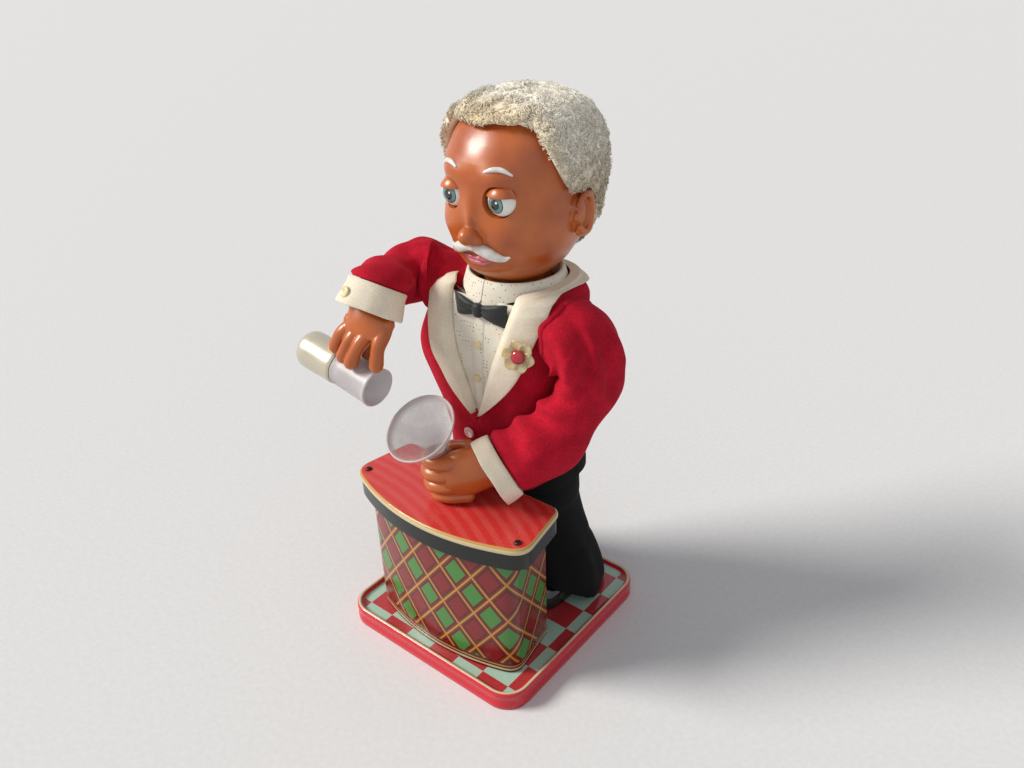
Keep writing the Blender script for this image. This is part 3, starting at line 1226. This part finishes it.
def left_hand():
    """Fist closed round the stem of the glass, back of the hand to the cuff."""
    start, _ = HAND_STARTS["left"]
    centre = PIVOT_SHOULDER + LEFT_FIST
    hand = ellipsoid("hand_left", centre + Vector((0.0045, 0.0010, 0)), (0.0120, 0.0095, 0.0125),
                     14, 7, VINYL_SKIN, LEFT_ARM)
    wrist = smooth_path([start, centre + Vector((0.008, 0.002, 0.0))], 2)
    join(hand, sweep("tool", wrist, [0.0096, 0.0102, 0.0095], 12))
    way = glass_way()
    stem = PIVOT_SHOULDER + GLASS_RIM - way * GLASS_DEPTH
    grip = stem - way * (GLASS_STEM_LENGTH * 0.5)
    radius = FINGER_RADIUS * 1.12
    for step in range(4):
        z = centre.z + 0.0092 - 0.0062 * step
        axis = grip + way * ((z - grip.z) / way.z)
        axis.y += (grip.y - axis.y) * 0.6
        points = []
        for angle in (-35, -80, -125, -170, -215):
            a = radians(angle)
            points.append(Vector((axis.x + (0.0105 - 0.0006 * step) * cos(a),
                                  axis.y + 0.0075 * sin(a), z)))
        join(hand, finger(points, radius, 2))
    thumb = [centre + Vector((0.010, -0.002, 0.009)), centre + Vector((0.004, -0.0085, 0.0120)),
             stem + Vector((-0.003, -0.0062, -0.0035))]
    join(hand, finger(thumb, FINGER_RADIUS * 1.05, 2))
    bore = rod("tool", stem + way * 0.004, stem - way * (GLASS_STEM_LENGTH + GAP),
               GLASS_STEM_RADIUS + GAP * 1.5, 16)
    slope = (GLASS_RIM_RADIUS - GLASS_STEM_RADIUS) / GLASS_DEPTH
    start = GLASS_STEM_RADIUS + GAP * 2
    cone = rod("cone", stem, stem + way * GLASS_DEPTH, start, 20,
               end_radius=start + GLASS_DEPTH * slope * 1.1)
    cut(hand, bore, cone)


def drinks():
    """Shaker in two parts and the cone glass."""
    centre = PIVOT_SHOULDER + SHAKER_CENTRE
    way = Vector((cos(SHAKER_TILT), 0, -sin(SHAKER_TILT)))
    r, w = SHAKER_RADIUS, SHAKER_WALL
    mouth = SHAKER_CUP_LENGTH
    profile = [(GAP, r * 0.93), (mouth, r), (mouth, r - w), (0.003, r * 0.93 - w), (0.0018, 0)]
    loops = [(GAP, 0)] + profile
    turned("shaker_cup", loops, centre, way, 18, FROSTED_PLASTIC, RIGHT_ARM)
    c = SHAKER_CAP_LENGTH
    profile = [(0, r * 0.97), (c * 0.75, r * 1.02), (c * 0.93, r * 0.98), (c, r * 0.86)]
    turned("shaker_cap", profile, centre, -way, 18, IVORY_PLASTIC, RIGHT_ARM)
    way = glass_way()
    rim = PIVOT_SHOULDER + GLASS_RIM
    d, s = GLASS_DEPTH, GLASS_STEM_RADIUS
    slope = GLASS_RIM_RADIUS - s
    profile = [(-GLASS_STEM_LENGTH, 0), (-GLASS_STEM_LENGTH, s), (0, s), (d * 0.5, s + slope * 0.52),
               (d, GLASS_RIM_RADIUS), (d + 0.0006, GLASS_RIM_RADIUS - GLASS_WALL / 2),
               (d, GLASS_RIM_RADIUS - GLASS_WALL), (d * 0.5, s + slope * 0.52 - GLASS_WALL * 1.2),
               (0.0028, 0)]
    turned("cocktail_glass", profile, rim - way * d, way, 24, FROSTED_PLASTIC, LEFT_ARM)


# Head levels: height above the neck's lower edge, half width, front and back (Y)
HEAD_LEVELS = ((0.0, 0.0165, 0.0135, 0.0465), (0.0040, 0.0170, 0.0125, 0.0470),
               (0.0070, 0.0195, 0.0080, 0.0480), (0.0092, 0.0220, 0.0055, 0.0495),
               (0.0145, 0.0268, 0.0018, 0.0545), (0.0220, 0.0305, -0.0008, 0.0615),
               (0.0310, 0.0328, -0.0022, 0.0685), (0.0420, 0.0338, -0.0030, 0.0740),
               (0.0540, 0.0340, -0.0024, 0.0764), (0.0640, 0.0333, -0.0008, 0.0754),
               (0.0720, 0.0310, 0.0034, 0.0718), (0.0790, 0.0266, 0.0096, 0.0664),
               (0.0840, 0.0200, 0.0172, 0.0590), (0.0868, 0.0118, 0.0262, 0.0498))
HEAD_TOP = 0.0878
HEAD_SIDES = 26


def head_loop(height, offset, sides=HEAD_SIDES):
    """One level of the head, pushed out or in."""
    rows = HEAD_LEVELS
    for low, high in zip(rows, rows[1:]):
        if height <= high[0]:
            share = (height - low[0]) / (high[0] - low[0])
            half, front, back = (a + (b - a) * share for a, b in zip(low[1:], high[1:]))
            break
    half = half * HEAD_HALF_WIDTH / 0.034
    middle, deep = (front + back) / 2, (back - front) / 2
    points = oval(half + offset, deep + offset, (0, middle), 2.15, sides)
    return loop3(points, HEAD_BOTTOM + height)


def head_shell():
    """Hollow vinyl head, open at the neck, with a nose, two ears and two eye holes."""
    outer = [head_loop(row[0], 0) for row in HEAD_LEVELS]
    tip_y = (HEAD_LEVELS[-1][2] + HEAD_LEVELS[-1][3]) / 2
    outer.append([Vector((0, tip_y, HEAD_BOTTOM + HEAD_TOP))])
    shape = rings("head_shell", outer[::-1], VINYL_SKIN, HEAD)
    spread = 1 / cos(pi / 14)
    hollow = []
    for height in (-0.002, 0.0050, 0.0092, 0.0220, 0.0420, 0.0640, 0.0790):
        loop = head_loop(max(height, 0), -VINYL * 1.25, 14)
        middle = sum(loop, Vector()) / 14
        hollow.append([middle + (p - middle) * (1 + (spread - 1) * 0.35) for p in loop])
        for point in hollow[-1]:
            point.z = HEAD_BOTTOM + height
    cut(shape, rings("tool", hollow))
    nose_z = HEAD_BOTTOM + 0.0315
    face = HEAD_LEVELS[6][2]
    join(shape, ellipsoid("tool", Vector((0, face - 0.0015, nose_z)), (0.0052, 0.0082, 0.0052), 12, 6))
    for side in (-1, 1):
        ear = Vector((side * (HEAD_HALF_WIDTH - 0.0005), HEAD_Y - 0.001, HEAD_BOTTOM + EAR_HEIGHT))
        join(shape, ellipsoid("tool", ear, (0.0042, 0.0062, 0.0095), 12, 6))
        socket = circle((side * EYE_SPACING / 2, EYE_Z), EYE_RADIUS + GAP, 24)
        cut(shape, prism("tool", socket, "Y", -0.03, 0.014))


def hairline(angle):
    """Share of the head's height where the hair starts, by the way round from the left ear."""
    front = -sin(angle)
    if front > 0:
        return 0.051 + 0.028 * smoothstep((front - 0.15) / 0.6)
    return 0.051 - 0.034 * smoothstep((-front) * 1.4)


def hair_cap():
    """Plush cap over the skull, high on the brow and low at the nape."""
    steps = 9
    outer, inner = [], []
    tip_y = (HEAD_LEVELS[-1][2] + HEAD_LEVELS[-1][3]) / 2
    top = HEAD_LEVELS[-1][0]
    for k in range(steps + 1):
        share = k / steps
        row_out, row_in = [], []
        for i in range(HEAD_SIDES):
            angle = 2 * pi * i / HEAD_SIDES
            line = hairline(angle)
            height = top + (line - top) * share ** 1.2
            depth = HAIR_DEPTH * (1.25 - 0.45 * share)
            row_out.append(head_loop(height, depth)[i] + Vector((0, 0, depth * (1 - share) ** 2)))
            close = CLOTH_GAP * (3 - 0.6 * share)
            row_in.append(head_loop(height, close)[i] + Vector((0, 0, close * (1 - share) ** 2)))
        outer.append(row_out)
        inner.append(row_in)
    top_z = HEAD_BOTTOM + HEAD_TOP
    loops = [[Vector((0, tip_y, top_z + HAIR_DEPTH * 1.25))]] + outer + inner[::-1]
    loops.append([Vector((0, tip_y, top_z + 3 * CLOTH_GAP))])
    rings("hair_cap", loops, PLUSH, HEAD)


def eye_parts():
    """Round eyes on pins, and the plate that carries them."""
    seat_y = HEAD_LEVELS[7][2] + 0.0062
    for side, word in ((1, "left"), (-1, "right")):
        centre = Vector((side * EYE_SPACING / 2, seat_y, EYE_Z))
        front = Vector((0, -1, 0))
        pin = EYE_PLATE_Y + PLATE + 0.0012 - centre.y
        profile = [(-0.0010, EYE_RADIUS), (0.0012, EYE_RADIUS), (0.0034, EYE_RADIUS * 0.80),
                   (0.0049, EYE_RADIUS * 0.45), (0.0055, 0)]
        eye = turned("eye_" + word, profile, centre, front, 20, EYE_WHITE, EYES[side])
        join(eye, rod("tool", centre, centre - front * pin, EYE_PIN_RADIUS, 8))
    seat = HEAD_BOTTOM + SEAT_HEIGHT + PLATE + GAP
    half = EYE_SPACING / 2 + 0.0045
    outline = [(-0.006, seat), (0.006, seat), (0.006, EYE_Z - 0.005), (half, EYE_Z - 0.005),
               (half, EYE_Z + 0.005), (-half, EYE_Z + 0.005), (-half, EYE_Z - 0.005),
               (-0.006, EYE_Z - 0.005)]
    plate = prism("eye_plate", outline, "Y", EYE_PLATE_Y, EYE_PLATE_Y + PLATE, STEEL, HEAD)
    for side in (-1, 1):
        hole = circle((side * EYE_SPACING / 2, EYE_Z), EYE_PIN_RADIUS + GAP / 2, 10)
        cut(plate, prism("tool", hole, "Y", -0.05, 0.05))


def head_bracket():
    """Lug on the neck pin and the disc that the head's neck snaps over."""
    z = HEAD_BOTTOM + SEAT_HEIGHT
    radius = NECK_RADIUS - 1.25 * VINYL - GAP
    disc = prism("head_bracket", circle((0, WAIST_Y), radius, 24), "Z", z, z + PLATE, STEEL, HEAD)
    low = PIVOT_NECK.z - 0.0024
    lug = [(WAIST_Y - 0.0018, low), (WAIST_Y + 0.0018, low), (WAIST_Y + 0.0026, PIVOT_NECK.z),
           (WAIST_Y + 0.0026, z + PLATE / 2), (WAIST_Y - 0.0026, z + PLATE / 2),
           (WAIST_Y - 0.0026, PIVOT_NECK.z)]
    join(disc, prism("tool", lug, "X", -0.0052, 0.0052))
    holed(disc, WAIST_Y, PIVOT_NECK.z, NECK_PIN_RADIUS + GAP / 2)


def leads():
    """Wires from the contact board to the switch, and from the switch up to the motor."""
    x, y = BATTERY_LEAD_HOLE
    board = BOARD_Z + BOARD_THICKNESS + GAP
    under = 0.0042
    sx, sy = SWITCH_PLACE.x, SWITCH_PLACE.y
    route = [(-0.022, CELL_Y, board), (-0.022, CELL_Y, board + 0.004), (-0.032, CELL_Y, board + 0.007),
             (x, y - 0.002, board - 0.002), (x, y, board - 0.012), (x, y, 0.030), (x, y, 0.010),
             (x, y + 0.003, under), (x, y + 0.020, under), (x - 0.003, sy - 0.016, under),
             (x - 0.004, sy - 0.004, under), (x - 0.005, sy + 0.0005, under)]
    path = smooth_path(route, 2)
    path[-1] = Vector((sx + 0.0030 + GAP + WIRE_RADIUS * 2, sy, under))
    sweep("lead_battery_to_switch", path, [WIRE_RADIUS] * len(path), 5, WIRE_RED, BASE)
    hx, hy = MOTOR_LEAD_HOLE
    tx, ty = MOTOR_LEAD_TOP
    route = [(sx + 0.0068, sy + 0.0035, under), (sx + 0.016, sy + 0.003, under), (hx - 0.010, hy, under),
             (hx - 0.002, hy, under + 0.0008), (hx, hy, TRAY_FLOOR - 0.001), (hx, hy, 0.020),
             (hx, hy, 0.050), (hx, (hy + ty) / 2, HIP_PLATE_Z - 0.014),
             (tx, ty, HIP_PLATE_Z - 0.002), (tx, ty, HIP_PLATE_Z + 0.004),
             (tx, WAIST_Y + 0.0042, WAIST_Z - 0.002), (tx, WAIST_Y + 0.0042, WAIST_Z + 0.0015)]
    path = smooth_path(route, 2)
    sweep("lead_switch_to_waist", path, [WIRE_RADIUS] * len(path), 5, WIRE_RED, BASE)
    turn_z = WAIST_Z + 0.0035
    route = [(tx, WAIST_Y, turn_z), (tx, WAIST_Y, FRAME_BASE_Z), (tx, WAIST_Y, FRAME_BASE_Z + 0.003),
             (tx, WAIST_Y, MOTOR_AXIS.z - MOTOR_RADIUS - GAP)]
    path = smooth_path(route, 1)
    sweep("lead_waist_to_motor", path, [WIRE_RADIUS] * len(path), 5, WIRE_RED, TORSO)


tray()
base_plate()
battery_door()
batteries()
bar()
switch()
legs()
trousers()
jacket()
shirt()
torso_shells()
collar_strip("shawl_collar", LAPEL_GAP, LAPEL_GAP + LAPEL_THICKNESS, CREAM_CLOTH, TORSO)
dress_trim()
torso_frame()
drive()
HAND_STARTS = {}
for turn, side_word, holder in ((1, "left", LEFT_ARM), (-1, "right", RIGHT_ARM)):
    HAND_STARTS[side_word] = arm(turn, side_word, holder)
right_hand()
left_hand()
drinks()
arm_lever(1, "left", [PIVOT_SHOULDER + Vector((SHAFT_ENDS["left"], 0.0, -0.012)),
                      PIVOT_SHOULDER + LEFT_ELBOW * 0.97, PIVOT_SHOULDER + LEFT_FOREARM,
                      HAND_STARTS["left"][0] - HAND_STARTS["left"][1] * 0.0008], LEFT_ARM)
arm_lever(-1, "right", [PIVOT_SHOULDER + Vector((-0.0440, -0.0070, 0.0085)),
                        PIVOT_SHOULDER + RIGHT_ELBOW, PIVOT_SHOULDER + RIGHT_BEND,
                        HAND_STARTS["right"][0] - RIGHT_WAY * 0.0045,
                        HAND_STARTS["right"][0] - RIGHT_WAY * 0.0012], RIGHT_ARM)
head_shell()
hair_cap()
eye_parts()
head_bracket()
leads()

for shape in bpy.data.objects:
    if shape.type == "MESH":
        shape.data.shade_smooth()
        shape.data.set_sharp_from_angle(angle=radians(35))
